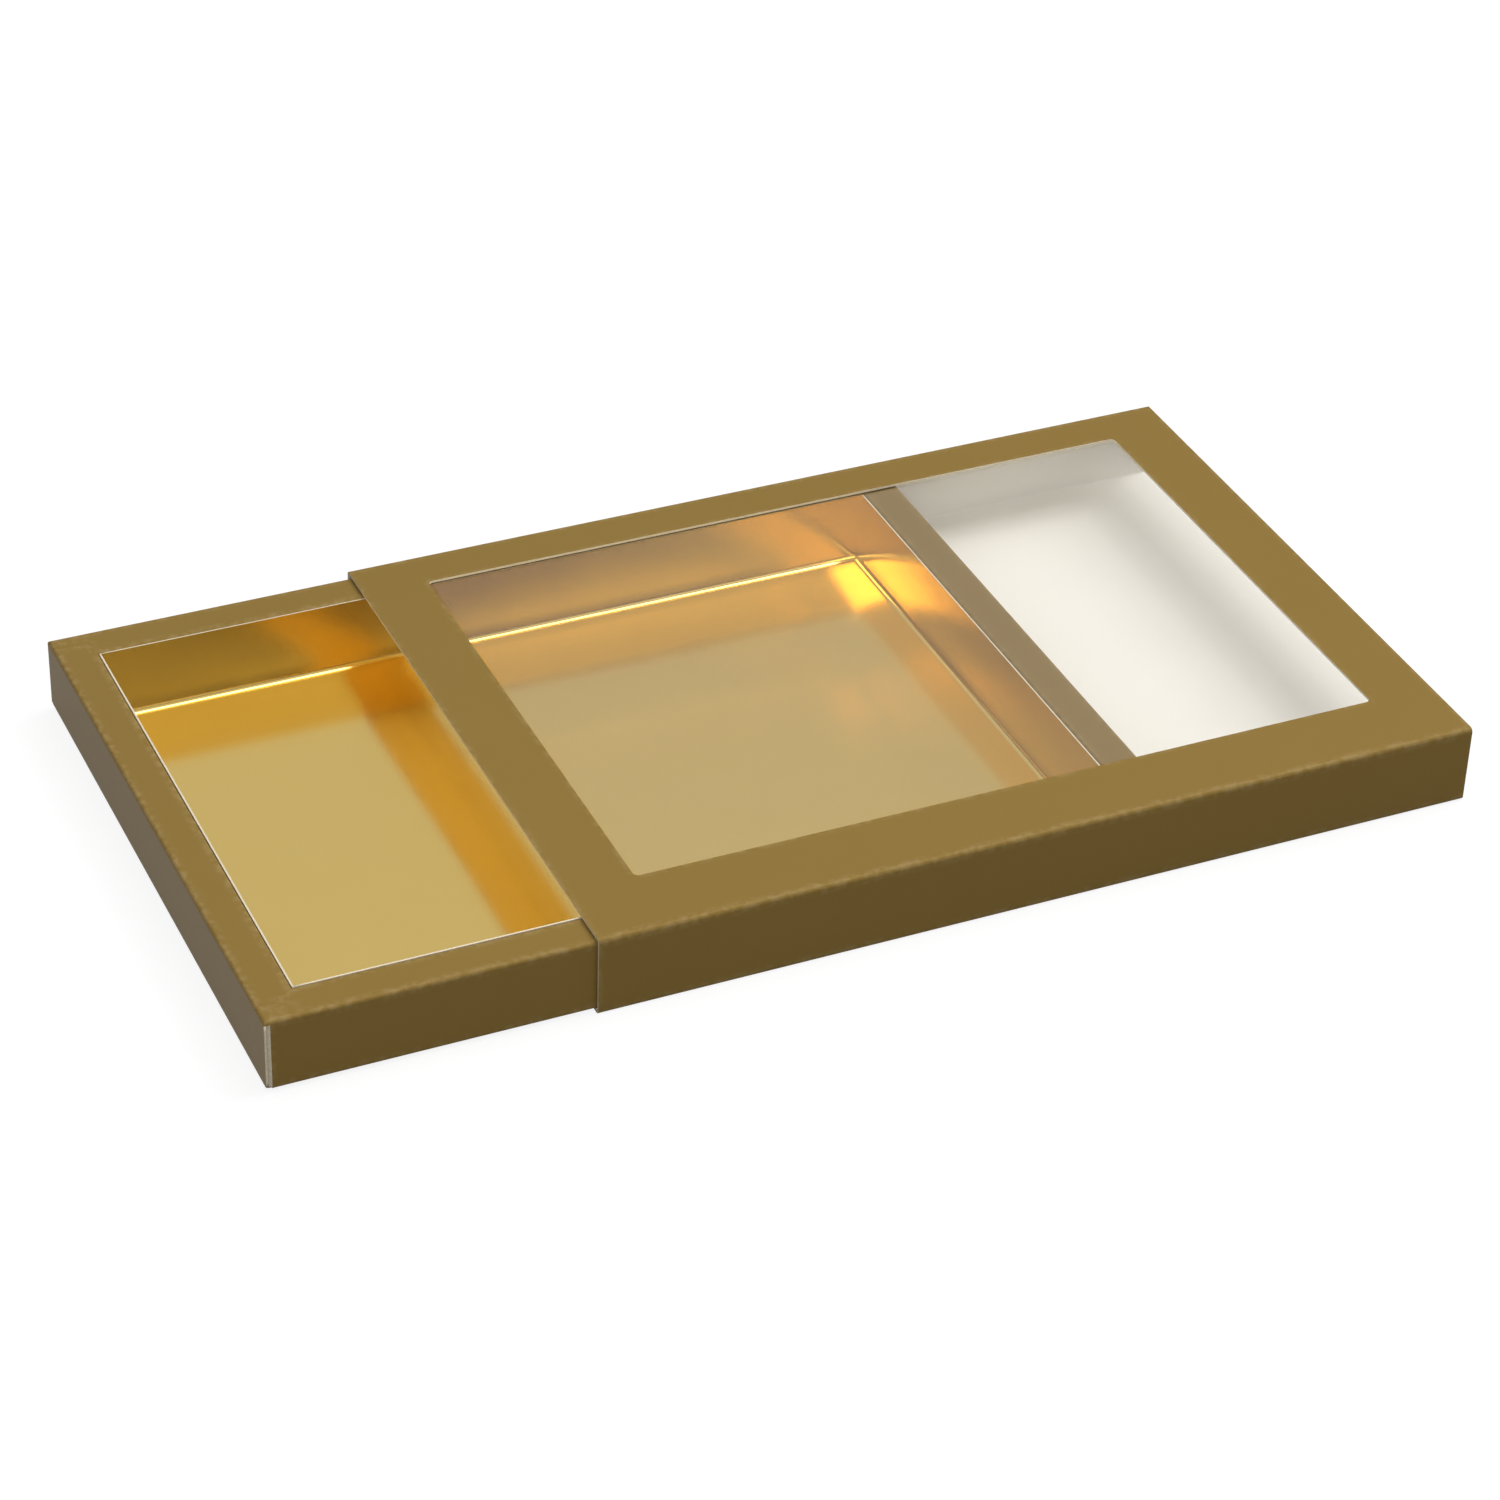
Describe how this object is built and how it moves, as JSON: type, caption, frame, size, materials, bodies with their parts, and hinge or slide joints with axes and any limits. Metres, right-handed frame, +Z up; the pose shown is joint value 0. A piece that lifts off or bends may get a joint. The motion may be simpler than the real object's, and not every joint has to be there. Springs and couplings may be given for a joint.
{
  "type": "sliding chocolate box",
  "caption": "Flat gold chocolate box: a shallow hollow-wall tray with a bright gold liner slides in an open-ended board sleeve with a clear film window in its top.",
  "frame": {"origin": "centre of the sleeve's underside", "axes": "+X along the slide, from the mouth that the tray is pulled out of towards the other one; -Y is the front; +Z is up"},
  "size_m": [0.336, 0.182, 0.023],
  "materials": {
    "sleeve_board": "satin",
    "tray_board": "satin",
    "liner_card": "gloss",
    "clear_film": "gloss"
  },
  "bodies": {
    "sleeve": {"sleeve_top_panel": "sleeve_board", "sleeve_front_panel": "sleeve_board", "sleeve_back_panel": "sleeve_board", "sleeve_bottom_panel": "sleeve_board", "sleeve_glue_flap": "sleeve_board", "window_film": "clear_film"},
    "tray": {"tray_floor": "tray_board", "tray_front_outer_wall": "tray_board", "tray_right_outer_wall": "tray_board", "tray_back_outer_wall": "tray_board", "tray_left_outer_wall": "tray_board", "tray_front_rim": "tray_board", "tray_right_rim": "tray_board", "tray_back_rim": "tray_board", "tray_left_rim": "tray_board", "tray_front_inner_wall": "tray_board", "tray_right_inner_wall": "tray_board", "tray_back_inner_wall": "tray_board", "tray_left_inner_wall": "tray_board", "tray_front_foot_flap": "tray_board", "tray_right_foot_flap": "tray_board", "tray_back_foot_flap": "tray_board", "tray_left_foot_flap": "tray_board", "tray_front_left_corner_flap": "tray_board", "tray_front_right_corner_flap": "tray_board", "tray_back_left_corner_flap": "tray_board", "tray_back_right_corner_flap": "tray_board", "liner_base": "liner_card", "liner_front_side": "liner_card", "liner_right_side": "liner_card", "liner_back_side": "liner_card", "liner_left_side": "liner_card"}
  },
  "joints": [
    {"name": "tray_slide", "type": "slide", "parent": "sleeve", "child": "tray", "axis": [1, 0, 0], "range_m": [-0.165, 0.339]}
  ]
}
